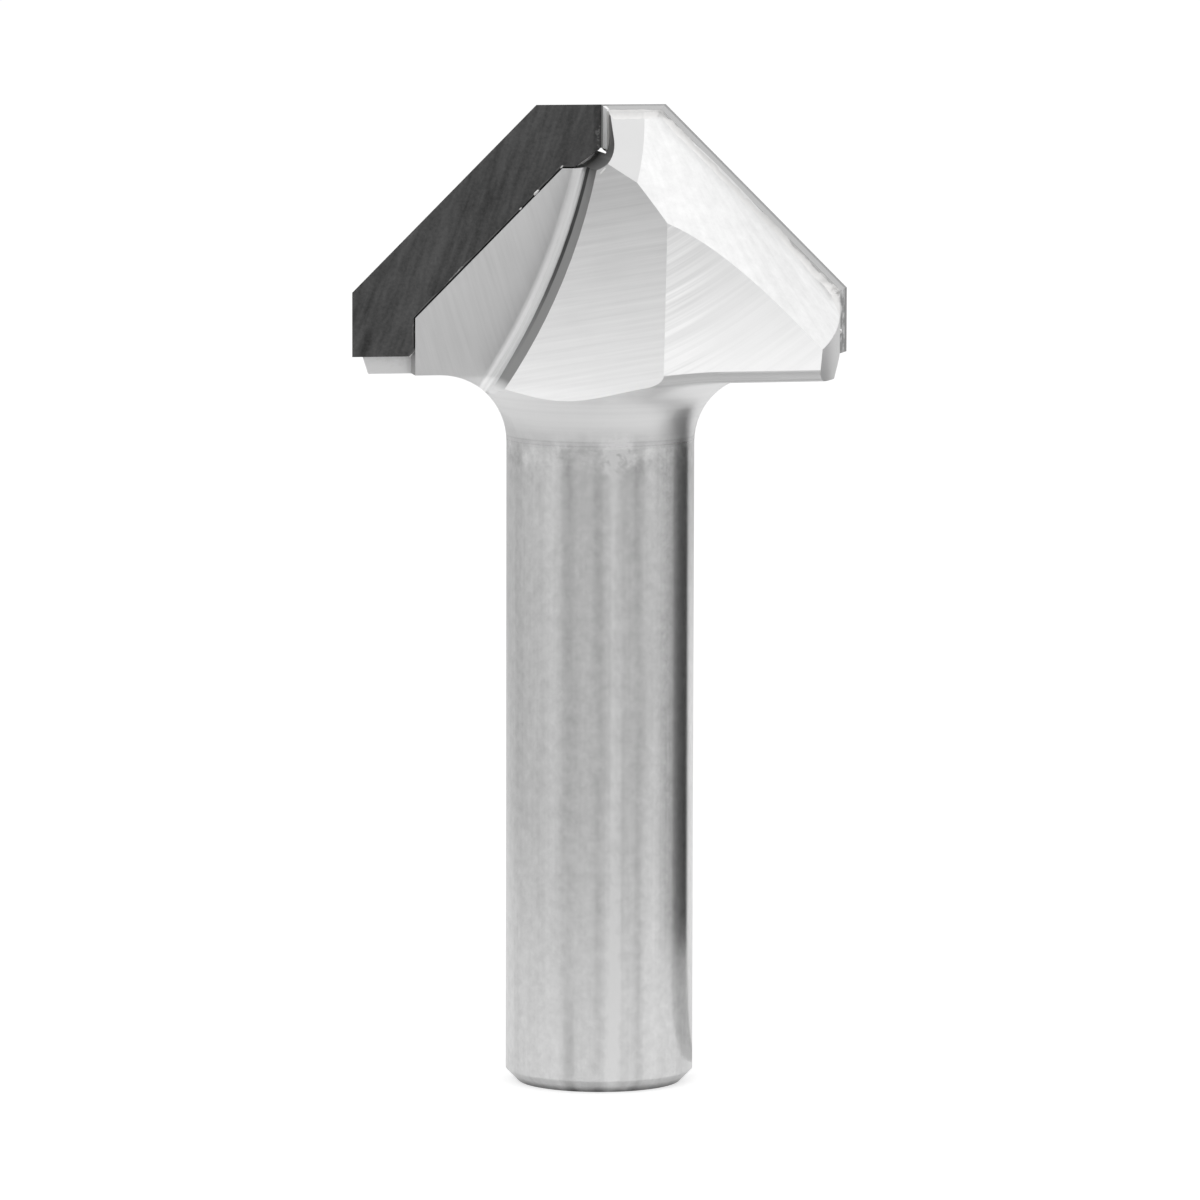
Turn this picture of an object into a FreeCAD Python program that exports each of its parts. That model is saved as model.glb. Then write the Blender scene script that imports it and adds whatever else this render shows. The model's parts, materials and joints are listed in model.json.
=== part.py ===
"""Two-wing diamond grooving cutter with a 12 mm shank, for a flat-bottomed 90 degree V groove.

The steel body is turned from bar, then milled: two wheel-cut flutes, two core flats, two back facets,
an eccentric relief cone behind each wing, a bevel behind each tip and a seat for each cutting tip.
A cutting tip is a chevron of polycrystalline diamond on a carbide backing, brazed into its seat.

Z is the axis of the tool, with the end of the shank at z = 0 and the cutting tips at the top.
Wing A points to -X and its cutting face lies in the plane y = 0, facing -Y. Wing B is wing A turned
half a turn about Z. What is milled from the -Y side is described once and repeated on the +Y side.
"""
import FreeCAD, Part
import math
import os

# Overall sizes, in millimetres and degrees
overall_length = 62.7
cut_diameter = 32.0
tip_diameter = 8.35
edge_half_angle = 45.0
straight_edge = 4.1

# Shank, neck and turned head
shank_diameter = 12.0
shank_chamfer = 0.8
head_height = 17.15
neck_radius = 4.35
body_setback = 0.75
nose_setback = 0.3
crown_setback = 0.4
rim_round = 0.65
seam_turn = 60.0

# Cutting tips
tip_width = 3.95
tip_thickness = 1.6
diamond_thickness = 0.5
side_clearance = 25.0
slant_clearance = 19.5
top_clearance = 8.0
meeting_clearance = 3.0
inner_chamfer_length = 1.7
inner_chamfer_height = 1.2
foot_chamfer = 0.3

# Seats milled for the tips, and the braze that fills them
braze_gap = 0.1
braze_setdown = 0.08
seat_cutter_radius = 2.0
seat_overrun = 0.25

# Flutes, ground by the rim of a large wheel whose flat side makes the face in front of each tip
flute_wheel_radius = 41.8
flute_wheel_height = 5.35
flute_corner_radius = 0.8

# Flats beside each flute: turned about Z from the -Y direction, leaning in towards the tip
core_flat_turn = 28.6
core_flat_lean = 12.0
core_flat_distance = 7.13
back_facet_turn = -3.5
back_facet_lean = 11.6
back_facet_distance = 9.54

# Flat that breaks the lower corner of each wing, turned about Z from the wing's own direction
corner_flat_turn = 10.0
corner_flat_width = 0.45
corner_flat_height = 1.4

# Bevel behind each tip end, and the eccentric cone behind each wing
tip_bevel_turn = 5.3
tip_bevel_slope = 47.9
tip_bevel_start = 1.47
relief_half_angle = 37.3
relief_offset_back = 5.75
relief_offset_side = 1.1
relief_setback = 0.6

# Worked out from the sizes above
cut_radius = cut_diameter / 2
tip_radius = tip_diameter / 2
shank_radius = shank_diameter / 2
body_radius = cut_radius - body_setback
edge_tangent = math.tan(math.radians(edge_half_angle))
shoulder_z = overall_length - (cut_radius - tip_radius) / edge_tangent
tip_foot_z = shoulder_z - straight_edge
head_foot_z = overall_length - head_height
crown_z = overall_length - crown_setback
seat_depth = tip_thickness + braze_gap
beyond = 2 * cut_diameter

AXIS = FreeCAD.Vector(0, 0, 1)
ORIGIN = FreeCAD.Vector(0, 0, 0)


def vector(x, y, z):
    return FreeCAD.Vector(x, y, z)


def half_turn(shape):
    """A copy of the shape turned half a turn about the tool's axis."""
    copy = shape.copy()
    copy.rotate(ORIGIN, AXIS, 180)
    return copy


def both_sides(shape):
    return [shape, half_turn(shape)]


def cutting_edge(side=0.0, slant=0.0, top=0.0):
    """The outer corners of a wing as (distance from axis, height), each edge moved in by a setback.

    They run up the straight edge at the side and along the slanted edge to the start of the tip flat.
    """
    angle = math.radians(edge_half_angle)
    side_u = cut_radius - side
    top_z = overall_length - top
    # A point (u, z) of the slanted edge has u * cos(angle) + z * sin(angle) = reach
    reach = cut_radius * math.cos(angle) + shoulder_z * math.sin(angle) - slant
    shoulder = (reach - side_u * math.cos(angle)) / math.sin(angle)
    tip = (reach - top_z * math.sin(angle)) / math.cos(angle)
    return [(side_u, tip_foot_z), (side_u, shoulder), (tip, top_z)]


def inner_edge(extra):
    """The inner edge of a tip as (distance from axis, height), moved out into the steel by extra."""
    width = tip_width + extra
    return cutting_edge(width, width, width)


def clearance(depth, angle):
    """How far a flank has fallen back at a depth behind the cutting face."""
    return depth * math.tan(math.radians(angle))


def half_space(normal, point):
    """A large block that fills the side of a plane to which its normal points."""
    block = Part.makeBox(2 * beyond, 2 * beyond, beyond, vector(-beyond, -beyond, 0))
    block.Placement = FreeCAD.Placement(point, FreeCAD.Rotation(AXIS, normal))
    return block


def leaning_normal(turn, lean):
    """Outward normal of a flat that faces -Y, turned towards -X about Z and tipped up by its lean."""
    turn = math.radians(turn)
    lean = math.radians(lean)
    return vector(-math.sin(turn) * math.cos(lean), -math.cos(turn) * math.cos(lean), math.sin(lean))


def leaning_flat(turn, lean, distance):
    """Cutter for a leaning flat that lies at the given distance from the axis at the head's foot."""
    turn_angle = math.radians(turn)
    foot = vector(-math.sin(turn_angle) * distance, -math.cos(turn_angle) * distance, head_foot_z)
    return half_space(leaning_normal(turn, lean), foot)


def turned_blank():
    """Shank, neck, head and nose cone as they leave the lathe, with the seam clear of the flutes."""
    neck_top = shank_radius + neck_radius
    neck_start = head_foot_z - neck_radius
    arc_middle = neck_radius * math.sqrt(0.5)
    nose = cutting_edge(body_setback, nose_setback, crown_setback)
    lower = Part.makePolygon([
        vector(0, 0, 0),
        vector(shank_radius - shank_chamfer, 0, 0),
        vector(shank_radius, 0, shank_chamfer),
        vector(shank_radius, 0, neck_start),
    ])
    neck = Part.Arc(
        vector(shank_radius, 0, neck_start),
        vector(neck_top - arc_middle, 0, neck_start + arc_middle),
        vector(neck_top, 0, head_foot_z),
    ).toShape()
    upper = Part.makePolygon([
        vector(neck_top, 0, head_foot_z),
        vector(body_radius, 0, head_foot_z),
        vector(body_radius, 0, nose[1][1]),
        vector(nose[2][0], 0, crown_z),
        vector(0, 0, crown_z),
        vector(0, 0, 0),
    ])
    outline = Part.Wire(lower.Edges + [neck] + upper.Edges)
    blank = Part.Face(outline).revolve(ORIGIN, AXIS, 360)
    blank.rotate(ORIGIN, AXIS, seam_turn)
    return blank


def flute_wheel():
    """The grinding wheel at the end of its cut: its flat side in y = 0, its rim touching the axis."""
    centre = vector(-flute_wheel_radius, 0, overall_length + flute_wheel_height)
    wheel = Part.makeCylinder(flute_wheel_radius, cut_diameter, centre, vector(0, -1, 0))
    rim = [edge for edge in wheel.Edges if edge.BoundBox.YLength < 0.01 and abs(edge.BoundBox.YMax) < 0.01]
    return wheel.makeFillet(flute_corner_radius, rim)


def core_flat_cutter():
    """Cutter for the core flat, stopped on its left over the space that the flute leaves open."""
    flat = leaning_flat(core_flat_turn, core_flat_lean, core_flat_distance)
    left_stop = half_space(vector(-1, 0, 0), vector(-core_flat_distance, 0, 0))
    return flat.cut(left_stop)


def back_facet_cutter():
    return leaning_flat(back_facet_turn, back_facet_lean, back_facet_distance)


def corner_flat_cutter():
    """Cutter for the flat that takes the lower corner off wing B, stopped at the head's foot."""
    turn = math.radians(corner_flat_turn)
    outward = vector(math.cos(turn), -math.sin(turn), 0)
    foot = outward * (body_radius - corner_flat_width) + AXIS * head_foot_z
    flat = half_space(outward * corner_flat_height - AXIS * corner_flat_width, foot)
    foot_stop = half_space(-AXIS, AXIS * head_foot_z)
    return flat.cut(foot_stop)


def tip_bevel_cutter():
    """Cutter for the steep bevel that falls away behind the end of wing B."""
    start = vector(0, -tip_bevel_start, overall_length)
    return half_space(leaning_normal(tip_bevel_turn, 90 - tip_bevel_slope), start)


def relief_cone():
    """Everything inside the eccentric cone that relieves the back of wing B.

    It passes relief_setback inside the middle of the slanted cutting edge, at the back of the tip.
    """
    edge = cutting_edge(slant=relief_setback)
    middle_u = (edge[1][0] + edge[2][0]) / 2
    middle_z = (edge[1][1] + edge[2][1]) / 2
    centre = vector(-relief_offset_side, relief_offset_back, 0)
    across = math.hypot(middle_u - centre.x, -seat_depth - centre.y)
    slope = math.tan(math.radians(relief_half_angle))
    apex = middle_z + across / slope
    return Part.makeCone(apex * slope, 0, apex, centre, AXIS)


def seat_cutter():
    """Space milled for the tip of wing A by an end mill that points along Y."""
    foot, shoulder, tip = inner_edge(braze_gap)
    floor = tip[1]
    corner_x = seat_overrun - seat_cutter_radius
    corner_z = floor + seat_cutter_radius
    bow = seat_cutter_radius * math.sqrt(0.5)
    outer = -beyond
    top = overall_length + beyond
    low = head_foot_z - neck_radius
    start = vector(-foot[0], seat_depth, low)
    inner_wall = Part.makePolygon([
        start,
        vector(-shoulder[0], seat_depth, shoulder[1]),
        vector(-tip[0], seat_depth, floor),
        vector(corner_x, seat_depth, floor),
    ])
    corner = Part.Arc(
        vector(corner_x, seat_depth, floor),
        vector(corner_x + bow, seat_depth, corner_z - bow),
        vector(seat_overrun, seat_depth, corner_z),
    ).toShape()
    outside = Part.makePolygon([
        vector(seat_overrun, seat_depth, corner_z),
        vector(seat_overrun, seat_depth, top),
        vector(outer, seat_depth, top),
        vector(outer, seat_depth, low),
        start,
    ])
    outline = Part.Wire(inner_wall.Edges + [corner] + outside.Edges)
    return Part.Face(outline).extrude(vector(0, -cut_diameter, 0))


def faceted_blank():
    """The turned blank with both back facets milled, and their sharp lower edges broken by hand."""
    blank = turned_blank()
    for cutter in both_sides(back_facet_cutter()):
        blank = blank.cut(cutter)
    rims = []
    for edge in blank.Edges:
        box = edge.BoundBox
        low = head_foot_z - rim_round < box.ZMin and box.ZMax < head_foot_z + 0.01
        if low and abs(edge.CenterOfMass.y) > shank_radius:
            rims.append(edge)
    return blank.makeFillet(rim_round, rims)


def tool_body():
    body = faceted_blank()
    for cone in both_sides(relief_cone()):
        body = body.common(cone)
    cutters = [flute_wheel(), core_flat_cutter(), corner_flat_cutter(), tip_bevel_cutter(), seat_cutter()]
    for cutter in cutters:
        for placed in both_sides(cutter):
            body = body.cut(placed)
    return body


def tip_outline(depth, margin):
    """Outline of wing A's tip in the plane at a depth behind its cutting face, grown by a margin
    into the steel and drawn in by it at the flanks."""
    outer = cutting_edge(
        clearance(depth, side_clearance) + margin,
        clearance(depth, slant_clearance) + margin,
        clearance(depth, top_clearance) + margin,
    )
    inner = inner_edge(margin)
    meeting = clearance(depth, meeting_clearance)
    bottom = inner[2][1]
    corners = outer + [
        (meeting, outer[2][1]),
        (meeting, bottom + inner_chamfer_height),
        (meeting + inner_chamfer_length, bottom),
        inner[2],
        inner[1],
        (inner[0][0], tip_foot_z + foot_chamfer),
        (inner[0][0] + foot_chamfer, tip_foot_z),
    ]
    points = [vector(-u, depth, z) for u, z in corners]
    return Part.makePolygon(points + points[:1])


def tip_slice(front, back):
    """Solid of the cutting tip of wing A between two depths behind its cutting face."""
    return Part.makeLoft([tip_outline(front, 0), tip_outline(back, 0)], True, True)


def braze_seam():
    """Braze that fills the seat of wing A behind the tip and along its inner edge."""
    filled = Part.Face(tip_outline(seat_depth, braze_gap)).extrude(vector(0, braze_setdown - seat_depth, 0))
    return filled.cut(tip_slice(0, tip_thickness))


def write(shape, name):
    solids = shape.Solids
    result = solids[0] if len(solids) == 1 else Part.makeCompound(solids)
    result.exportStep("parts/" + name + ".step")
    print(name, "solids", len(solids), "volume", round(shape.Volume, 3), "valid", shape.isValid())


def main():
    os.makedirs("parts", exist_ok=True)
    write(tool_body(), "tool_body")
    pieces = {
        "diamond_layer": tip_slice(0, diamond_thickness),
        "carbide_backing": tip_slice(diamond_thickness, tip_thickness),
        "braze_seam": braze_seam(),
    }
    for name, piece in pieces.items():
        for wing, shape in zip("ab", both_sides(piece)):
            write(shape, name + "_" + wing)


main()
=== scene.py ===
"""Looks of the two-wing diamond grooving cutter: finishes, braze, floor, studio light and camera."""
import bmesh
import bpy
import json
import math
from types import SimpleNamespace
from mathutils import Matrix, Vector, noise
from mathutils.bvhtree import BVHTree


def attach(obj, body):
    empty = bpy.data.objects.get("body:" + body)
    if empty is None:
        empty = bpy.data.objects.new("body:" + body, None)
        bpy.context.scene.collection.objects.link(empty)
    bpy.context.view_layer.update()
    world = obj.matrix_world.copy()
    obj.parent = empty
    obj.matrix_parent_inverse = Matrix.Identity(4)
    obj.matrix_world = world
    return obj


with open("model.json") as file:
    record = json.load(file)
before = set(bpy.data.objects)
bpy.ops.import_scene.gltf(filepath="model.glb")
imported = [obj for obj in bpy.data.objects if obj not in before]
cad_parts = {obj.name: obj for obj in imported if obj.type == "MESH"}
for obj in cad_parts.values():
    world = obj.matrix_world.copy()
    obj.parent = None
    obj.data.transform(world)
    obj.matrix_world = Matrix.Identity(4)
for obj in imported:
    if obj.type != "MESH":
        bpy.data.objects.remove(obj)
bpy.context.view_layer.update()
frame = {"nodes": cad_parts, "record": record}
nodes = frame["nodes"]

MM = 0.001
WINGS = "ab"

# The shank's radius, read from the frame
SHANK_RADIUS = next(m for m in frame["record"]["mounts"] if m["name"] == "shank")["dims"]["r_mm"] * MM

# Ground flats of the body: turn about Z from -Y towards -X, and lean upwards, in degrees
CORE_FLAT = (28.6, 12.0)
BACK_FACET = (-3.5, 11.6)
TIP_BEVEL = (5.3, 42.1)
# Lean of the relief cones, in degrees, and where their axis passes on the near side, as x and y
RELIEF_LEAN = 37.3
RELIEF_AXIS = (-1.1 * MM, 5.75 * MM)

# Heights on the tool, from the shank up
CHAMFER_TOP = 0.8 * MM
NECK_FOOT = 41.2 * MM
HEAD_FOOT = 45.55 * MM
RIM_TOP = 46.25 * MM
SEAM_FOOT = 46.775 * MM
# Above this height the braze lies along the flat end of a tip
TOP_BRAZE_FOOT = 62.0 * MM

# Reaches out from the axis: the head, the flat in front of a tip and the flute's wall
HEAD_RADIUS = 15.25 * MM
FLAT_REACH = 13.5 * MM
FLUTE_REACH = 11.0 * MM
# How deep a tip sits in its wing, measured from the cutting face
SEAT_DEPTH = 1.7 * MM
# How far the slanted edge at the back of a tip lies out along the direction halfway between X and Z
SLANT_REACH = 46.585 * MM

# Steel: its tone, and the darkest and brightest that marks may take it to
STEEL_TONE = 0.79
STEEL_DARKEST = 0.05
STEEL_BRIGHTEST = 0.99
# Roughness of the ground faces. Under 0.28 the denoiser takes a face for a mirror and draws marks on it
STEEL_ROUGHNESS = 0.325

# Painted reflections: soft bands along the shank, the same ones in each third of its round, with their
# place, half width in degrees and strength
THIRD_START = -165
THIRD_WIDTH = 120
PAINTED_REFLECTION_BANDS = ((5, 10, -0.5), (34, 9, 0.5), (46, 7, -1.0), (64, 5, -0.7), (73, 7, 0.8), (89, 5, -0.8),
               (99, 7, 0.3))
# A bright cloud where the neck meets the shank, and stains where the emery stopped against the neck: the
# cloud's middle, then the stains' height and half width
CLOUD_MIDDLE = (0.1 * MM, -6.0 * MM, 40.8 * MM)
NECK_STAINS = (40.6 * MM, 2.2 * MM)
# Grooves that the turning tool left where the neck begins: height and half width
TOOL_MARKS = ((41.65 * MM, 0.09 * MM), (41.40 * MM, 0.06 * MM))
# Centre of the cup wheel that left arcs on the back facet, up and to the left of the tool
WHEEL_CENTRE = (-12 * MM, -9 * MM, 82 * MM)
# Painted reflection: the rounded back of a wing is brighter in one strip: its turn from +X towards -Y, and
# half its width
PAINTED_REFLECTION_STRIP = (math.radians(25.5), math.radians(6))

# Lean of the lapping streaks on the diamond, and the middle of the slightly brighter patch at its top
STREAK_LEAN = math.radians(20)
BRIGHT_PATCH = (-2.4 * MM, 0, 61.4 * MM)

# Beads of braze in front of a tip: how far along the gap from its foot, then half length and half width,
# in millimetres
FRONT_BEADS = ((0.12, (0.15, 0.08)), (13.75, (0.24, 0.09)), (12.3, (0.10, 0.05)), (16.05, (0.12, 0.05)),
               (17.9, (0.28, 0.06)))
# The drop on the side of a tip: how far below its shoulder, how far out, and half its width
DROP_BELOW = 2.60 * MM
DROP_OUT = 0.10 * MM
DROP_SIZE = 0.17 * MM
# A bead's height as a share of its half width, and how wrinkled it is
BEAD_HEIGHT = 0.35
BEAD_WRINKLE = 0.25

# Runs of braze: spacing of their rows, length over which they round a bend, steps from border to border,
# and how deep their borders are sunk
RUN_SPACING = 0.055 * MM
RUN_BEND = 0.2 * MM
RUN_ACROSS = 10
RUN_SUNK = 0.008 * MM
# Height of the skin on the back of a tip and of the thread in front of it
SKIN_RISE = 0.05 * MM
THREAD_RISE = 0.02 * MM
# How far the skin runs along the flat end of a tip, where it is narrow
TIP_RUN = 3.4 * MM
# What tells the lumps of the two wings' braze apart: a seed for wing A, and the step from it to wing B's
FIRST_SEED = 1.7
SEED_STEP = 5.3
# Rays that look for the surface start this far in front of the tool, and go back along +Y
RAY_START = -30 * MM
RAY_WAY = Vector((0, 1, 0))

# The photograph's camera, found by fitting the turned shank and the tips' outline
CAMERA_AZIMUTH = -9.94
CAMERA_ELEVATION = 6.35
CAMERA_ROLL = 0.134
CAMERA_DISTANCE = 0.5565
CAMERA_AIM = Vector((0, 0, 0.031))
PHOTO_WIDTH = 1200
FOCAL_PIXELS = 8698.3
SENSOR_MM = 36.0

# Studio: levels are those of a white surface in full light, which is 1
FLOOR_HALF = 2.0
FLOOR_TONE = 0.58
FLOOR_TO_CAMERA = 0.62
ROOM_LEVEL = 0.70
STUDIO_WHITE = 1.0
# How the table fades in reflections, from the tool's foot and from a patch behind it to the right: the two
# radii between which it fades, and the levels there
FLOOR_NEAR = (0.02, 0.16, 0.15, 0.095)
FLOOR_PATCH = (0.12, 0.12, 0)
FLOOR_BEHIND = (0.02, 0.26, 0.28, 0.0)
# The lamps look at the middle of the tool
LAMP_AIM = (0, 0, 0.04)
# Dark cards to the right of the tool: radius and height of their lower and upper borders
DARK_RADII = (0.055, 0.080)
DARK_HEIGHTS = (0.001, 0.043)


class Graph:
    """Builds shader nodes: values are numbers, sockets or tuples."""

    def __init__(self, tree):
        self.tree = tree

    def node(self, kind, **settings):
        made = self.tree.nodes.new(kind)
        for name, value in settings.items():
            setattr(made, name, value)
        return made

    def feed(self, socket, value):
        if isinstance(value, bpy.types.NodeSocket):
            self.tree.links.new(value, socket)
        elif value is not None:
            socket.default_value = value

    def math(self, operation, a, b=None):
        made = self.node("ShaderNodeMath", operation=operation)
        for socket, value in zip(made.inputs, (a, b)):
            self.feed(socket, value)
        return made.outputs[0]

    def add(self, *values):
        total = values[0]
        for value in values[1:]:
            total = self.math("ADD", total, value)
        return total

    def times(self, *values):
        total = values[0]
        for value in values[1:]:
            total = self.math("MULTIPLY", total, value)
        return total

    def minus(self, a, b):
        return self.math("SUBTRACT", a, b)

    def swing(self, value, amount=1.0):
        """A noise value moved to lie around 0, times an amount."""
        return self.times(self.minus(value, 0.5), amount)

    def size(self, value):
        return self.math("ABSOLUTE", value)

    def dot(self, a, b):
        made = self.node("ShaderNodeVectorMath", operation="DOT_PRODUCT")
        self.feed(made.inputs[0], a)
        self.feed(made.inputs[1], b)
        return made.outputs["Value"]

    def distance(self, a, b):
        made = self.node("ShaderNodeVectorMath", operation="DISTANCE")
        self.feed(made.inputs[0], a)
        self.feed(made.inputs[1], b)
        return made.outputs["Value"]

    def split(self, vector):
        made = self.node("ShaderNodeSeparateXYZ")
        self.feed(made.inputs[0], vector)
        return made.outputs

    def join(self, x, y, z):
        made = self.node("ShaderNodeCombineXYZ")
        for socket, value in zip(made.inputs, (x, y, z)):
            self.feed(socket, value)
        return made.outputs[0]

    def ramp(self, value, low, high, to_low=0.0, to_high=1.0, smooth=True):
        made = self.node("ShaderNodeMapRange", interpolation_type="SMOOTHSTEP" if smooth else "LINEAR")
        for name, given in (("Value", value), ("From Min", low), ("From Max", high),
                            ("To Min", to_low), ("To Max", to_high)):
            self.feed(made.inputs[name], given)
        return made.outputs["Result"]

    def bell(self, value, middle, half_width):
        """1 at the middle, falling smoothly to 0 at the half width on both sides."""
        return self.ramp(self.size(self.minus(value, middle)), half_width, 0.0)

    def noise(self, vector, scale, detail=3.0, roughness=0.5):
        made = self.node("ShaderNodeTexNoise")
        self.feed(made.inputs["Vector"], vector)
        self.feed(made.inputs["Scale"], scale)
        self.feed(made.inputs["Detail"], detail)
        self.feed(made.inputs["Roughness"], roughness)
        return made.outputs["Fac"]

    def lines(self, across, along, across_scale, along_scale, seed):
        """Noise drawn out into lines: fine in one direction and long in the other."""
        place = self.join(self.times(across, across_scale), self.times(along, along_scale), seed)
        return self.noise(place, 1.0, 2.0, 0.6)

    def mix(self, factor, a, b):
        """a where the factor is 0 and b where it is 1."""
        made = self.node("ShaderNodeMix", data_type="FLOAT")
        self.feed(made.inputs["Factor"], factor)
        self.feed(made.inputs["A"], a)
        self.feed(made.inputs["B"], b)
        return made.outputs["Result"]

    def grey(self, value, warmth=0.0):
        made = self.node("ShaderNodeCombineColor")
        self.feed(made.inputs["Red"], self.times(value, 1.0 + warmth))
        self.feed(made.inputs["Green"], value)
        self.feed(made.inputs["Blue"], self.times(value, 1.0 - warmth))
        return made.outputs[0]

    def bump(self, height, depth):
        made = self.node("ShaderNodeBump")
        self.feed(made.inputs["Strength"], 1.0)
        self.feed(made.inputs["Distance"], depth)
        self.feed(made.inputs["Height"], height)
        return made.outputs[0]


def new_material(name, metallic, **fixed):
    """A Principled material and its graph. Fixed values are set on the shader's own sockets."""
    material = bpy.data.materials.new(name)
    material.use_nodes = True
    graph = Graph(material.node_tree)
    shader = material.node_tree.nodes["Principled BSDF"]
    shader.inputs["Metallic"].default_value = metallic
    for socket, value in fixed.items():
        shader.inputs[socket].default_value = value
    return material, graph, shader


def bare_material(name):
    """A material with no shader yet, its graph and the socket that its surface goes to."""
    material = bpy.data.materials.new(name)
    material.use_nodes = True
    tree = material.node_tree
    tree.nodes.remove(tree.nodes["Principled BSDF"])
    return material, Graph(tree), tree.nodes["Material Output"].inputs["Surface"]


def half_turn_place(g):
    """Position and normal, with what faces +Y turned half a turn about Z, so both wings match."""
    geometry = g.node("ShaderNodeNewGeometry")
    position = geometry.outputs["Position"]
    normal = geometry.outputs["Normal"]
    # A face that looks along the axis, with no Y to its normal, counts as facing -Y
    barely_back = 0.0001
    side = g.math("SIGN", g.minus(barely_back, g.split(normal)[1]))
    flipped = []
    for vector in (position, normal):
        x, y, z = g.split(vector)
        flipped.append(g.join(g.times(x, side), g.times(y, side), z))
    return flipped[0], flipped[1], position


def facet_normal(turn, lean):
    turn = math.radians(turn)
    lean = math.radians(lean)
    return (-math.sin(turn) * math.cos(lean), -math.cos(turn) * math.cos(lean), math.sin(lean))


def facing(g, normal, direction, spread=2.0):
    """1 where the surface faces the direction to within the spread in degrees."""
    inner = math.cos(math.radians(spread))
    outer = math.cos(math.radians(2 * spread))
    return g.ramp(g.dot(normal, direction), outer, inner)


def inside_slant(g, x, z):
    """How far a point lies inside the slanted edge at the back of a tip."""
    return g.minus(SLANT_REACH, g.times(g.add(x, z), math.sqrt(0.5)))


def shank_turn(g, position):
    """Turn of a point round the tool, in degrees from +X, and its height."""
    x, y, z = g.split(position)
    return g.times(g.math("ARCTAN2", y, x), 180 / math.pi), z


def painted_shank_reflections(g, turn, z):
    """Painted reflections: soft bands that run the length of the shank, one pattern in each third of its
    round.
    """
    drift = g.swing(g.noise(g.join(0, 0, z), 60, 3.0), 9)
    third = g.add(g.math("FLOORED_MODULO", g.add(turn, -THIRD_START), THIRD_WIDTH), drift)
    total = 0.0
    for middle, half_width, strength in PAINTED_REFLECTION_BANDS:
        total = g.add(total, g.times(g.bell(third, middle, half_width), strength))
    patches = g.noise(g.join(g.times(turn, 0.04), 0, g.times(z, 60)), 1.0, 2.0)
    return g.times(total, g.ramp(patches, 0.3, 0.7, 0.6, 1.4))


def steel_places(g, place, normal):
    """Which surface of the body each point belongs to: 1 on the surface, and 0 elsewhere."""
    x, y, z = g.split(place)
    normal_x, normal_y, normal_z = g.split(normal)
    out = g.math("SQRT", g.add(g.times(x, x), g.times(y, y)))
    on_head = g.ramp(z, HEAD_FOOT - 0.8 * MM, HEAD_FOOT)
    at = SimpleNamespace()

    # Flats that are known by the way they face
    at.core = facing(g, normal, facet_normal(*CORE_FLAT))
    at.facet = facing(g, normal, facet_normal(*BACK_FACET))
    at.bevel = facing(g, normal, facet_normal(*TIP_BEVEL))
    flat = facing(g, normal, (0, -1, 0))
    at.ledge = g.times(flat, g.ramp(y, 0.8 * MM, 1.2 * MM))
    at.front = g.minus(flat, at.ledge)
    cone_lean = g.size(g.minus(normal_z, math.sin(math.radians(RELIEF_LEAN))))
    at.relief = g.times(g.ramp(cone_lean, 0.05, 0.02), g.ramp(z, HEAD_FOOT, RIM_TOP))

    # Turned surfaces, known by their height
    not_flat = g.minus(1.0, g.add(at.core, at.facet))
    at.turned = g.times(g.ramp(z, HEAD_FOOT, HEAD_FOOT - 0.3 * MM), not_flat)
    at.shank = g.ramp(z, NECK_FOOT + 0.8 * MM, NECK_FOOT - 0.6 * MM)
    at.neck = g.minus(at.turned, at.shank)
    at.chamfer = g.ramp(z, CHAMFER_TOP + 0.1 * MM, CHAMFER_TOP - 0.1 * MM)
    at.rim = g.times(g.ramp(z, RIM_TOP + 0.1 * MM, RIM_TOP - 0.1 * MM),
                     g.ramp(z, HEAD_FOOT - 0.3 * MM, HEAD_FOOT),
                     g.ramp(g.size(y), SHANK_RADIUS, 1.2 * SHANK_RADIUS), g.ramp(normal_z, 0.18, 0.05))
    at.rounded = g.times(g.ramp(out, HEAD_RADIUS - 0.7 * MM, HEAD_RADIUS - 0.4 * MM),
                         g.ramp(normal_z, 0.12, 0.06), g.ramp(g.size(normal_x), 0.4, 0.6),
                         g.ramp(z, HEAD_FOOT - 0.1 * MM, HEAD_FOOT + 0.1 * MM))

    # The tip seat's wall, the flute's wall, and the fillet at its foot
    at.wall = g.times(g.ramp(g.size(normal_x), 0.85, 0.95),
                      g.ramp(g.size(y), SEAT_DEPTH + 0.3 * MM, SEAT_DEPTH),
                      g.ramp(out, HEAD_RADIUS - 0.7 * MM, HEAD_RADIUS - 1.0 * MM),
                      g.ramp(z, NECK_FOOT, HEAD_FOOT))
    at.groove = g.times(g.ramp(g.size(normal_y), 0.16, 0.06),
                        g.ramp(out, FLUTE_REACH, FLUTE_REACH - 0.5 * MM), on_head)
    at.fillet = g.times(g.bell(g.size(normal_y), 0.72, 0.27), g.ramp(out, FLAT_REACH, FLAT_REACH - 0.5 * MM),
                        g.ramp(g.size(normal_z), 0.7, 0.5), on_head)
    return at


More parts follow.
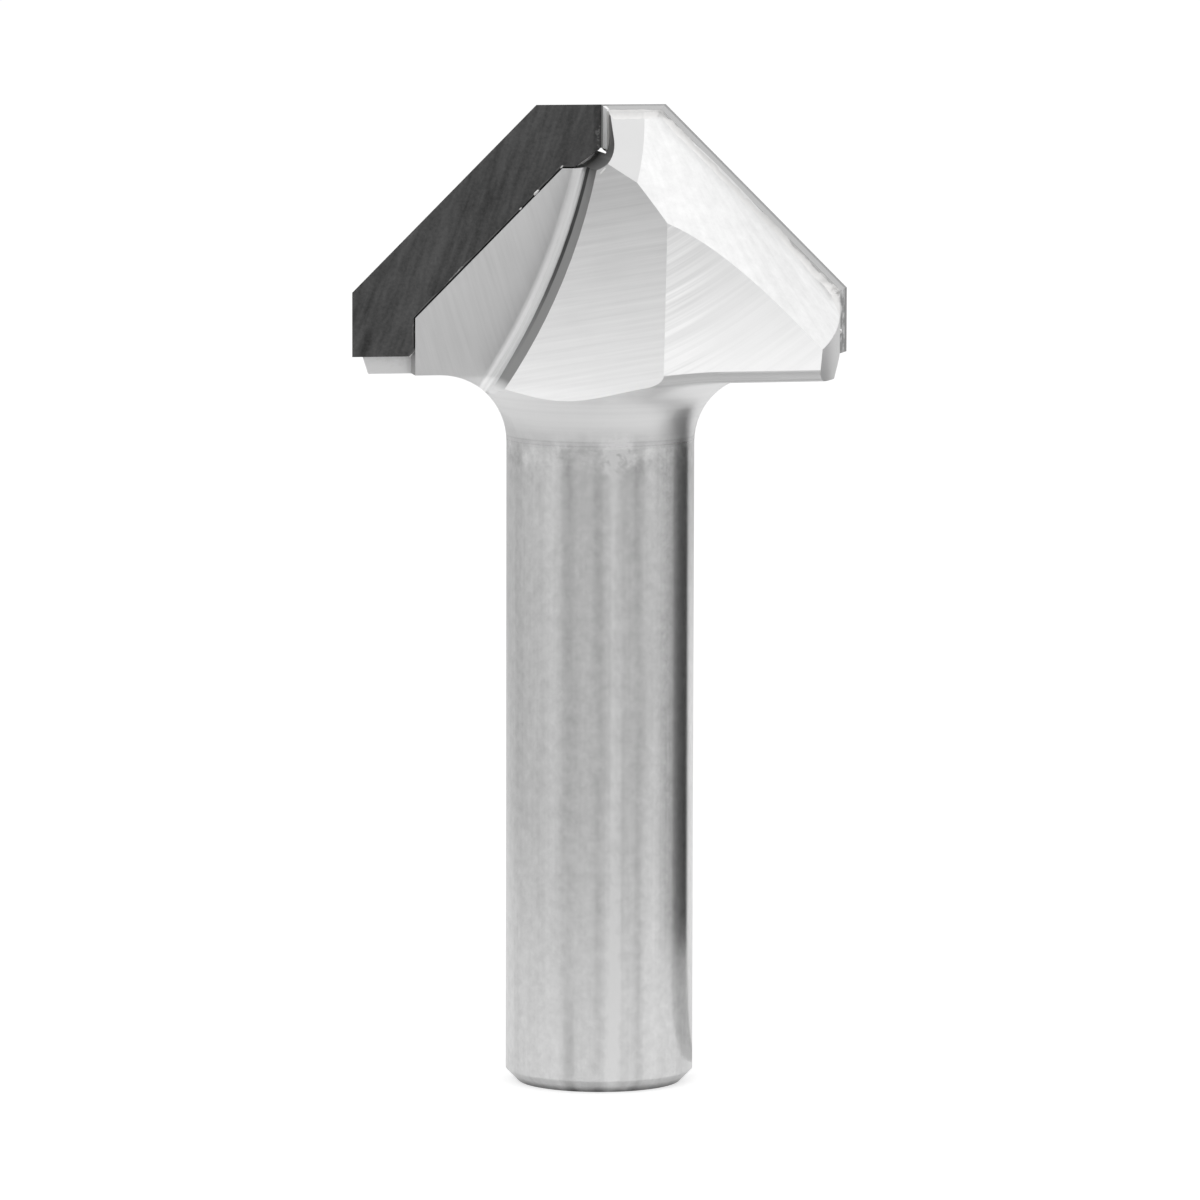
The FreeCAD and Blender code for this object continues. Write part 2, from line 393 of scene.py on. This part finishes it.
def steel_lines(g, at, place, normal, position):
    """Lines that grinding and turning left, each kind on its own surface, lying around 0."""
    x, y, z = g.split(place)
    normal_y = g.split(normal)[1]
    arcs = g.lines(g.distance(place, WHEEL_CENTRE), x, 3200, 60, 3.1)
    # The arcs are strongest by the ridge where the facet meets the core flat
    by_ridge = g.ramp(x, 6.5 * MM, 3.2 * MM, 0.5, 1.8)
    core_lines = g.lines(g.add(z, g.times(x, -0.2)), x, 4400, 120, 5.7)
    face_lines = g.lines(g.add(x, g.times(z, 0.3)), z, 3800, 200, 9.2)
    fillet_lines = g.lines(normal_y, z, 16, 60, 6.1)
    around = g.math("ARCTAN2", g.minus(x, RELIEF_AXIS[0]), g.minus(y, RELIEF_AXIS[1]))
    cone_lines = g.lines(around, z, 30, 120, 1.3)
    rings = g.lines(z, x, 3000, 30, 7.7)
    turn, height = shank_turn(g, position)
    streaks = g.lines(turn, height, 0.6, 70, 4.4)
    return g.add(
        g.times(at.facet, by_ridge, g.swing(arcs)),
        g.times(at.core, g.swing(core_lines, 0.55)),
        g.times(at.front, g.swing(face_lines, 0.45)),
        g.times(at.fillet, g.swing(fillet_lines, 0.9)),
        g.times(at.relief, g.swing(cone_lines, 0.4)),
        g.times(at.neck, g.swing(rings, 0.5)),
        g.times(at.shank, g.swing(streaks, 0.35)),
    )


def head_tone(g, at, place, stains, blotches):
    """What the surfaces of the head add to the steel's tone: mostly painted shade, highlights and
    reflections, with stains and blotches.
    """
    x, y, z = g.split(place)
    # Light falls off towards the braze that ran out over the back of the tip
    near_braze = g.times(at.relief, g.ramp(inside_slant(g, x, z), 1.0 * MM, 0.1 * MM))
    reflection_strip = g.bell(g.math("ARCTAN2", g.times(y, -1), x), *PAINTED_REFLECTION_STRIP)
    return g.add(
        # Painted shade and highlight: the facets darken towards the tip and brighten towards the neck
        g.times(at.core, g.ramp(z, 60 * MM, 46 * MM, -0.16, 0.15, smooth=False)),
        g.times(at.facet, g.ramp(z, 58 * MM, 46 * MM, -0.17, 0.20, smooth=False)),
        # Painted highlight: the flat in front of a tip brightens towards the top
        g.times(at.front, g.ramp(z, 48 * MM, 59 * MM, 0.05, 0.13, smooth=False)),
        # Painted highlight: the relief cones are lifted a little
        g.times(at.relief, 0.06),
        g.times(at.relief, stains, 0.22),
        g.times(near_braze, -0.14),
        # Painted shade: the tip bevel is darkened
        g.times(at.bevel, -0.08),
        g.times(at.ledge, g.add(0.20, g.swing(blotches, 0.3), g.times(stains, 0.5))),
        # Painted shade: the rim under the head is darkened
        g.times(at.rim, -0.04),
        # Painted reflection: the rounded back of a wing is lifted, and more so in one strip
        g.times(at.rounded, g.add(0.19, g.times(reflection_strip, 0.05))),
        # Painted shade: the seat's wall, the flute's wall and its fillet are darkened
        g.times(at.wall, -0.27),
        g.times(at.groove, -0.46),
        g.times(at.fillet, -0.10),
    )


def shank_tone(g, at, position, stains):
    """What the turned surfaces add to the steel's tone: painted reflections and shade, with tool marks and
    stains.
    """
    turn, z = shank_turn(g, position)
    smears = g.swing(g.noise(position, 650, 4.0, 0.65))
    cloud = g.ramp(g.distance(position, CLOUD_MIDDLE), 1.7 * MM, 0.2 * MM)
    tool_marks = g.add(*[g.bell(z, height, half_width) for height, half_width in TOOL_MARKS])
    return g.add(
        # Painted reflections of the studio, in bands along the shank
        g.times(at.shank, painted_shank_reflections(g, turn, z), 0.13),
        # Painted reflection of the bright table: the shank is lighter towards its foot; the stains are its
        # own
        g.times(at.shank, g.add(g.ramp(z, 2 * MM, 22 * MM, 0.10, -0.005), g.times(stains, 0.36))),
        # Painted light: the neck brightens towards the head
        g.times(at.neck, g.ramp(z, NECK_FOOT, NECK_FOOT + 1.6 * MM, 0.02, 0.16)),
        g.times(tool_marks, -0.09),
        g.times(g.bell(z, *NECK_STAINS), smears, 0.9),
        g.times(cloud, g.add(0.30, g.times(stains, 1.6))),
        # Painted shade: the chamfer at the shank's end is darkened
        g.times(at.chamfer, -0.07),
        # Painted shade: the shank's end is dark just above the table
        g.ramp(z, 0.5 * MM, 0.0, 0.0, -0.50),
    )


def steel_material():
    """Ground and turned bright steel, with the marks that each step of its making left, and painted shade
    and reflections.
    """
    material, g, shader = new_material("body steel ground", 1.0)
    place, normal, position = half_turn_place(g)
    at = steel_places(g, place, normal)
    lines = steel_lines(g, at, place, normal, position)
    blotches = g.noise(position, 260, 4.0, 0.6)
    stains = g.swing(g.noise(position, 1400, 4.0, 0.7))
    level = g.add(
        STEEL_TONE,
        head_tone(g, at, place, stains, blotches),
        shank_tone(g, at, position, stains),
        g.times(lines, 0.30),
        g.swing(blotches, 0.07),
    )
    held = g.math("MINIMUM", g.math("MAXIMUM", level, STEEL_DARKEST), STEEL_BRIGHTEST)
    rough = g.add(STEEL_ROUGHNESS, g.times(at.shank, -0.13), g.times(at.wall, 0.2), g.times(at.groove, 0.15),
                  g.times(lines, 0.10), g.swing(blotches, 0.05))
    g.feed(shader.inputs["Base Color"], g.grey(held))
    g.feed(shader.inputs["Roughness"], rough)
    g.feed(shader.inputs["Normal"], g.bump(g.times(lines, at.turned), 1.2e-6))
    return material


def diamond_material():
    """Lapped polycrystalline diamond: near black, finely grained, with broad lapping streaks."""
    material, g, shader = new_material("diamond lapped", 0.0, IOR=1.5)
    place, normal, position = half_turn_place(g)
    x, _, z = g.split(place)
    grain = g.noise(position, 4200, 3.0, 0.7)
    mottle = g.noise(position, 700, 4.0, 0.6)
    across = g.add(g.times(x, math.cos(STREAK_LEAN)), g.times(z, -math.sin(STREAK_LEAN)))
    along = g.add(g.times(x, math.sin(STREAK_LEAN)), g.times(z, math.cos(STREAK_LEAN)))
    streaks = g.lines(across, along, 1900, 260, 2.4)
    broad = g.lines(across, along, 600, 160, 8.8)
    patch = g.ramp(g.distance(place, BRIGHT_PATCH), 2.6 * MM, 1.2 * MM)
    # The ends that meet on the axis are darker, with chips along them, and the flanks are brighter
    meeting = g.ramp(g.size(x), 0.55 * MM, 0.40 * MM)
    chips = g.times(meeting, g.ramp(g.noise(position, 2600, 2.0), 0.60, 0.68))
    flank = g.ramp(g.size(g.split(normal)[1]), 0.8, 0.6)
    level = g.add(
        0.070,
        g.swing(grain, 0.100),
        g.swing(mottle, 0.050),
        g.swing(streaks, 0.125),
        g.swing(broad, 0.045),
        g.times(patch, 0.007),
        g.times(meeting, -0.022),
        g.times(chips, 0.10),
        g.times(flank, 0.24),
    )
    rough = g.add(0.38, g.swing(streaks, 0.15), g.swing(mottle, 0.1), g.times(meeting, 0.2))
    g.feed(shader.inputs["Base Color"], g.grey(g.math("MAXIMUM", level, 0.003)))
    g.feed(shader.inputs["Roughness"], rough)
    g.feed(shader.inputs["Normal"], g.bump(g.add(g.times(grain, 0.7), streaks), 1.6e-6))
    return material


def carbide_material():
    """Ground cemented carbide: fine lines along its flanks, stained where the braze ran over it, and a
    painted highlight on its end face by the axis.
    """
    material, g, shader = new_material("carbide ground", 1.0)
    place, normal, position = half_turn_place(g)
    x, y, z = g.split(place)
    normal_x, normal_y, _ = g.split(normal)
    lines = g.lines(y, g.add(x, z), 4200, 150, 4.8)
    mottle = g.noise(position, 900, 4.0, 0.6)
    grain = g.noise(position, 6000, 2.0, 0.6)
    back = g.ramp(g.size(normal_y), 0.9, 0.98)
    side = g.times(g.ramp(g.size(normal_x), 0.8, 0.88), g.ramp(g.size(x), 2 * MM, 4 * MM))
    # Painted highlight: the end face by the axis lies in shade and is made lighter
    end = g.ramp(g.size(x), 0.30 * MM, 0.20 * MM)
    stains = g.ramp(g.noise(position, 1400, 3.0, 0.7), 0.40, 0.62)
    level = g.add(
        0.45,
        g.swing(lines, 0.06),
        g.swing(mottle, 0.05),
        g.swing(grain, 0.04),
        g.times(back, 0.30),
        g.times(side, g.add(0.14, g.swing(stains, 0.5))),
        g.times(end, 0.50),
    )
    g.feed(shader.inputs["Base Color"], g.grey(level))
    g.feed(shader.inputs["Roughness"], g.add(0.34, g.swing(mottle, 0.1), g.times(end, 0.4)))
    g.feed(shader.inputs["Normal"], g.bump(g.add(lines, mottle), 1.5e-6))
    return material


def seam_material():
    """Braze down in its gap: near black in front as painted shade in the narrow gap, with painted glints,
    and bright at the back and at the foot of a tip.
    """
    material, g, shader = new_material("braze in the gap", 1.0)
    place, _, position = half_turn_place(g)
    _, y, z = g.split(place)
    behind = g.ramp(y, -0.9 * MM, -1.3 * MM)
    low = g.ramp(z, SEAM_FOOT + 0.6 * MM, SEAM_FOOT + 0.2 * MM)
    # Painted glints on the braze in the gap
    spots = g.ramp(g.noise(position, 420, 3.0, 0.6), 0.64, 0.70)
    oxide = g.noise(position, 1800, 4.0, 0.6)
    # Painted shade: the braze in front is near black
    level = g.add(0.02, g.swing(oxide, 0.03), g.times(spots, 0.3), g.times(behind, 0.68), g.times(low, 0.4))
    g.feed(shader.inputs["Base Color"], g.grey(g.math("MAXIMUM", level, 0.005), 0.012))
    g.feed(shader.inputs["Roughness"], g.add(0.55, g.times(spots, -0.2), g.times(behind, -0.2)))
    g.feed(shader.inputs["Normal"], g.bump(oxide, 4.0e-6))
    return material


def braze_material():
    """Silver braze as it froze: mottled, darker at its outer border and bright where it meets the steel,
    with painted shade along the flat end of a tip.
    """
    material, g, shader = new_material("braze silver", 1.0)
    place, _, position = half_turn_place(g)
    x, _, z = g.split(place)
    ripple = g.noise(position, 1500, 5.0, 0.65)
    oxide = g.noise(position, 600, 4.0, 0.6)
    level = g.add(
        g.ramp(inside_slant(g, x, z), -0.20 * MM, 0.55 * MM, 0.58, 0.80),
        # Painted shade: the braze along the flat end of a tip is darkened where it would mirror the bright
        # studio
        g.ramp(z, TOP_BRAZE_FOOT - 0.2 * MM, TOP_BRAZE_FOOT + 0.2 * MM, 0.0, -0.10),
        g.swing(ripple, 0.16),
        g.swing(oxide, 0.12),
    )
    g.feed(shader.inputs["Base Color"], g.grey(level, 0.008))
    g.feed(shader.inputs["Roughness"], g.add(0.36, g.swing(oxide, 0.15)))
    g.feed(shader.inputs["Normal"], g.bump(ripple, 3.5e-6))
    return material


def flux_material():
    """Flux and braze that wicked out in front of a tip: grey, with brighter spots."""
    material, g, shader = new_material("braze wicked out", 1.0, Roughness=0.45)
    position = g.node("ShaderNodeNewGeometry").outputs["Position"]
    spots = g.noise(position, 700, 3.0, 0.6)
    level = g.add(0.17, g.ramp(spots, 0.55, 0.75, 0.0, 0.5), g.swing(g.noise(position, 3000), 0.1))
    g.feed(shader.inputs["Base Color"], g.grey(level, 0.006))
    return material


def dress(name, material):
    slots = nodes[name].data.materials
    if not slots:
        slots.append(material)
    for slot in range(len(slots)):
        slots[slot] = material


def new_piece(name, mesh, material, turned):
    """A smooth piece that rides on the tool as braze, given half a turn where it is the other wing's."""
    if turned:
        mesh.transform(Matrix.Rotation(math.pi, 4, "Z"))
    mesh.polygons.foreach_set("use_smooth", [True] * len(mesh.polygons))
    mesh.materials.append(material)
    piece = bpy.data.objects.new(name, mesh)
    bpy.context.scene.collection.objects.link(piece)
    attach(piece, "root")


def surfaces(*names):
    """Search tree of the named pieces, to lay braze on them."""
    corners = []
    faces = []
    for name in names:
        mesh = nodes[name].data
        first = len(corners)
        corners.extend(v.co.copy() for v in mesh.vertices)
        faces.extend([first + i for i in p.vertices] for p in mesh.polygons)
    return BVHTree.FromPolygons(corners, faces)


def back_corners():
    """Corners of wing B's seam at its back, as (x, z): along the tip flat, the slant and the side."""
    behind = min(v.co.y for v in nodes["braze_seam_b"].data.vertices)
    found = [v.co for v in nodes["braze_seam_b"].data.vertices if v.co.y < behind + 0.01 * MM]
    # The four corners are the furthest ones up, up and a little out, out and a little up, and out
    ways = ((-0.1, 1.0), (0.4, 1.0), (1.0, 0.4), (1.0, -0.1))
    ends = [max(found, key=lambda c: c.x * across + c.z * up) for across, up in ways]
    return [Vector((c.x, c.z)) for c in ends]


def gap_corners():
    """Corners of the gap in front of wing A's tip, as (x, z), from its foot up to the axis."""
    seam = [v.co for v in nodes["braze_seam_a"].data.vertices]
    front = {(round(v.co.x, 6), round(v.co.z, 6)) for v in nodes["diamond_layer_a"].data.vertices
             if abs(v.co.y) < 0.01 * MM}
    inner = [c for c in front if min(math.hypot(c[0] - s.x, c[1] - s.z) for s in seam) < 0.02 * MM]
    return [Vector(c) for c in sorted(inner)]


def length_of(corners):
    """Length of a line of corners."""
    return sum((b - a).length for a, b in zip(corners, corners[1:]))


def walk(corners, gone):
    """The point that lies a distance along a line of corners."""
    for start, end in zip(corners, corners[1:]):
        length = (end - start).length
        if gone <= length or end is corners[-1]:
            return start.lerp(end, gone / length)
        gone -= length


def wave(gone, length, seed):
    """Smooth random value round 0 that changes over the given length."""
    return noise.noise(Vector((gone / length, seed, 0.5)))


def depth_at(tree, spot):
    """Depth of the surface behind a spot (x, z), or None where there is none."""
    hit = tree.ray_cast(Vector((spot.x, RAY_START, spot.y)), RAY_WAY)[0]
    return hit.y if hit else None


def run_row(tree, spots, gone, rise, seed):
    """Points across a run of braze: a lumpy ridge that bridges what lies deeper than its borders."""
    depths = [depth_at(tree, spot) for spot in spots]
    known = [depth for depth in depths if depth is not None]
    points = []
    for index, (spot, depth) in enumerate(zip(spots, depths)):
        share = index / RUN_ACROSS
        straight = known[0] + (known[-1] - known[0]) * share
        depth = straight if depth is None else min(depth, straight)
        lump = 0.7 + 0.6 * noise.noise(Vector((gone / MM * 3, share * 2, seed)))
        lift = rise * math.sin(math.pi * share) * lump - RUN_SUNK
        points.append((spot.x, depth - lift, spot.y))
    return points


def braze_run(name, tree, corners, borders, rise, seed, material, turned):
    """Braze laid along a line of corners: borders gives how far it reaches out and in at each place."""
    total = length_of(corners)
    steps = int(total / RUN_SPACING)
    row = RUN_ACROSS + 1
    points = []
    for step in range(steps + 1):
        gone = total * step / steps
        ahead = walk(corners, min(total, gone + RUN_BEND))
        behind = walk(corners, max(0, gone - RUN_BEND))
        way = (ahead - behind).normalized()
        outward = Vector((-way.y, way.x))
        reach_out, reach_in = borders(gone, total, seed)
        shares = [index / RUN_ACROSS for index in range(row)]
        reaches = [reach_out + (reach_in - reach_out) * share for share in shares]
        spots = [walk(corners, gone) + outward * reach for reach in reaches]
        points.extend(run_row(tree, spots, gone, rise, seed))
    firsts = [step * row + index for step in range(steps) for index in range(RUN_ACROSS)]
    quads = [(first, first + 1, first + row + 1, first + row) for first in firsts]
    mesh = bpy.data.meshes.new(name)
    mesh.from_pydata(points, [], quads)
    new_piece(name, mesh, material, turned)


def skin_borders(gone, total, seed):
    """The skin on the back of a tip: its outer border ragged, its inner one lost in the steel."""
    # Reaches are in millimetres up to the last line
    if gone < TIP_RUN:
        ragged = 0.10 + 0.04 * wave(gone, 0.7 * MM, seed)
    else:
        ragged = 0.11 + 0.20 * wave(gone, 2.4 * MM, seed) + 0.16 * wave(gone, 0.7 * MM, seed + 3)
    outer = min(0.30, max(0.01, ragged))
    inner = 0.42 + 0.20 * wave(gone, 1.5 * MM, seed + 7)
    # It narrows to nothing at both of its ends
    ends = min(1.0, gone / (0.3 * MM), (total - gone) / (0.5 * MM))
    return outer * ends * MM, -inner * ends * MM


def thread_borders(gone, total, seed):
    """The thread in front of a tip, that lies on the diamond beside the gap."""
    width = max(0.02, 0.075 + 0.10 * wave(gone, 0.9 * MM, seed)) * MM
    return width, 0.01 * MM


def bead(name, tree, spot, half_length, half_width, material, turned):
    """A drop of braze that froze on the surface behind a spot (x, z)."""
    hit, normal = tree.ray_cast(Vector((spot.x, RAY_START, spot.y)), RAY_WAY)[:2]
    sizes = (half_length, half_width, BEAD_HEIGHT * half_width)
    shape = bmesh.new()
    bmesh.ops.create_icosphere(shape, subdivisions=4, radius=1.0)
    for vertex in shape.verts:
        wrinkle = 1.0 + BEAD_WRINKLE * noise.noise(vertex.co * 1.5 + Vector(hit) / MM)
        vertex.co = Vector([place * size for place, size in zip(vertex.co, sizes)]) * wrinkle
    mesh = bpy.data.meshes.new(name)
    shape.to_mesh(mesh)
    shape.free()
    along = Vector((1, 0, 1)).cross(normal).cross(normal).normalized()
    sideways = normal.cross(along)
    mesh.transform(Matrix.Translation(hit) @ Matrix((along, sideways, normal)).transposed().to_4x4())
    new_piece(name, mesh, material, turned)


def braze_pieces(silver, flux):
    """Braze that stands proud of the seams: laid behind wing B and in front of wing A, and turned."""
    back = surfaces("tool_body", "carbide_backing_b", "braze_seam_b", "diamond_layer_b")
    front = surfaces("tool_body", "diamond_layer_a", "braze_seam_a")
    behind = back_corners()
    gap = gap_corners()
    shoulder = length_of(behind[:3])
    for index, wing in enumerate(WINGS):
        on_a = wing == "a"
        on_b = wing == "b"
        seed = index * SEED_STEP + FIRST_SEED
        braze_run("braze_skin_" + wing, back, behind, skin_borders, SKIN_RISE, seed, silver, on_a)
        braze_run("braze_thread_" + wing, front, gap, thread_borders, THREAD_RISE, seed, flux, on_b)
        for number, (gone, (half_length, half_width)) in enumerate(FRONT_BEADS):
            name = "braze_bead_%s_%d" % (wing, number)
            bead(name, front, walk(gap, gone * MM), half_length * MM, half_width * MM, silver, on_b)
        spot = walk(behind, shoulder + DROP_BELOW) + Vector((DROP_OUT, 0))
        bead("braze_drop_" + wing, back, spot, DROP_SIZE, DROP_SIZE, silver, on_a)


def studio_rays(g):
    """1 for rays from the camera and for mirrored and passed ones, and 1 for the camera's alone."""
    path = g.node("ShaderNodeLightPath")
    seen = g.math("MAXIMUM", path.outputs["Is Camera Ray"], path.outputs["Is Glossy Ray"])
    return g.math("MAXIMUM", seen, path.outputs["Is Transmission Ray"]), path.outputs["Is Camera Ray"]


def make_floor():
    """Pale studio table: white to the camera, and grey in reflections but for the light round the tool."""
    corners = [(x * FLOOR_HALF, y * FLOOR_HALF, 0) for x, y in ((-1, -1), (1, -1), (1, 1), (-1, 1))]
    mesh = bpy.data.meshes.new("floor")
    mesh.from_pydata(corners, [], [(0, 1, 2, 3)])
    floor = bpy.data.objects.new("floor", mesh)
    bpy.context.scene.collection.objects.link(floor)
    material, g, surface = bare_material("pale floor")
    diffuse = g.node("ShaderNodeBsdfDiffuse")
    diffuse.inputs["Color"].default_value = (FLOOR_TONE, FLOOR_TONE, FLOOR_TONE, 1)
    glow = g.node("ShaderNodeEmission")
    seen, camera_ray = studio_rays(g)
    position = g.node("ShaderNodeNewGeometry").outputs["Position"]
    near = g.ramp(g.distance(position, (0, 0, 0)), *FLOOR_NEAR)
    behind = g.ramp(g.distance(position, FLOOR_PATCH), *FLOOR_BEHIND)
    level = g.mix(camera_ray, g.add(near, behind), FLOOR_TO_CAMERA)
    g.feed(glow.inputs["Strength"], g.times(seen, level))
    total = g.node("ShaderNodeAddShader")
    g.feed(total.inputs[0], diffuse.outputs[0])
    g.feed(total.inputs[1], glow.outputs[0])
    g.feed(surface, total.outputs[0])
    mesh.materials.append(material)


def make_world():
    """Studio all round: white to the camera and in reflections, and softer as light."""
    world = bpy.data.worlds.new("studio")
    bpy.context.scene.world = world
    world.use_nodes = True
    g = Graph(world.node_tree)
    background = world.node_tree.nodes["Background"]
    seen = studio_rays(g)[0]
    g.feed(background.inputs["Color"], (1, 1, 1, 1))
    g.feed(background.inputs["Strength"], g.mix(seen, ROOM_LEVEL, STUDIO_WHITE))


def make_card(name, radii, azimuths, heights, levels):
    """A card bent round the tool, or laid flat on the table, that only reflections see.

    Radii and heights are those of its two borders. Azimuths are those of its two ends in degrees, and its
    level changes evenly from one end to the other.
    """
    steps = 16
    first, last = azimuths
    corners = []
    for step in range(steps + 1):
        angle = math.radians(first + (last - first) * step / steps)
        for radius, height in zip(radii, heights):
            corners.append((radius * math.cos(angle), radius * math.sin(angle), height))
    quads = [(2 * step, 2 * step + 2, 2 * step + 3, 2 * step + 1) for step in range(steps)]
    mesh = bpy.data.meshes.new(name)
    mesh.from_pydata(corners, [], quads)
    card = bpy.data.objects.new(name, mesh)
    bpy.context.scene.collection.objects.link(card)
    material, g, surface = bare_material(name)
    glow = g.node("ShaderNodeEmission")
    x, y, _ = g.split(g.node("ShaderNodeNewGeometry").outputs["Position"])
    turn = g.minus(g.math("ARCTAN2", y, x), math.radians(first))
    around = g.math("FLOORED_MODULO", turn, 2 * math.pi)
    level = g.ramp(around, 0, math.radians(last - first), levels[0], levels[1], smooth=False)
    g.feed(glow.inputs["Strength"], level)
    g.feed(surface, glow.outputs[0])
    mesh.materials.append(material)
    card.visible_camera = False
    card.visible_diffuse = False
    card.visible_shadow = False


def make_lamp(name, place, size, level):
    """A square softbox whose face is as bright as the given level, where a white surface is 1."""
    data = bpy.data.lights.new(name, "AREA")
    data.shape = "SQUARE"
    data.size = size
    data.energy = level * math.pi * size ** 2
    lamp = bpy.data.objects.new(name, data)
    bpy.context.scene.collection.objects.link(lamp)
    lamp.location = place
    lamp.rotation_euler = (Vector(LAMP_AIM) - Vector(place)).to_track_quat("-Z", "Y").to_euler()


def make_camera():
    azimuth = math.radians(CAMERA_AZIMUTH)
    elevation = math.radians(CAMERA_ELEVATION)
    roll = math.radians(CAMERA_ROLL)
    forward = Vector((
        -math.sin(azimuth) * math.cos(elevation),
        math.cos(azimuth) * math.cos(elevation),
        -math.sin(elevation),
    ))
    level_right = forward.cross(Vector((0, 0, 1))).normalized()
    level_up = level_right.cross(forward)
    right = level_right * math.cos(roll) + level_up * math.sin(roll)
    up = level_up * math.cos(roll) - level_right * math.sin(roll)
    data = bpy.data.cameras.new("camera")
    data.sensor_width = SENSOR_MM
    data.lens = SENSOR_MM * FOCAL_PIXELS / PHOTO_WIDTH
    data.clip_start = 0.01
    data.clip_end = 20
    camera = bpy.data.objects.new("camera", data)
    bpy.context.scene.collection.objects.link(camera)
    place = CAMERA_AIM - forward * CAMERA_DISTANCE
    camera.matrix_world = Matrix.Translation(place) @ Matrix((right, up, -forward)).transposed().to_4x4()
    bpy.context.scene.camera = camera


def make_studio():
    """Floor, world, the cards that the steel mirrors, and two softboxes."""
    make_floor()
    make_world()
    make_card("dark card", DARK_RADII, (-24, -1), DARK_HEIGHTS, (0.56, 0.40))
    make_card("black card", DARK_RADII, (-1, 33), DARK_HEIGHTS, (0.18, 0.0))
    # Painted shade: a darker patch of table that only reflections see
    make_card("table shade card", (0.0065, DARK_RADII[0]), (-5, 33), (0.001, 0.001), (0.50, 0.42))
    make_card("front of the room", (0.90, 0.90), (-150, -50), (0.0, 0.14), (0.30, 0.30))
    make_card("left card", (0.080, 0.080), (-165, -115), (0.076, 0.130), (0.60, 0.60))
    make_lamp("key", (0.46, -0.11, 0.68), 0.90, 0.18)
    make_lamp("fill", (-0.50, -0.55, 0.75), 0.60, 1.0)


dress("tool_body", steel_material())
diamond = diamond_material()
carbide = carbide_material()
seam = seam_material()
for wing in WINGS:
    dress("diamond_layer_" + wing, diamond)
    dress("carbide_backing_" + wing, carbide)
    dress("braze_seam_" + wing, seam)
braze_pieces(braze_material(), flux_material())
make_studio()
make_camera()
bpy.context.scene.view_settings.view_transform = "Standard"
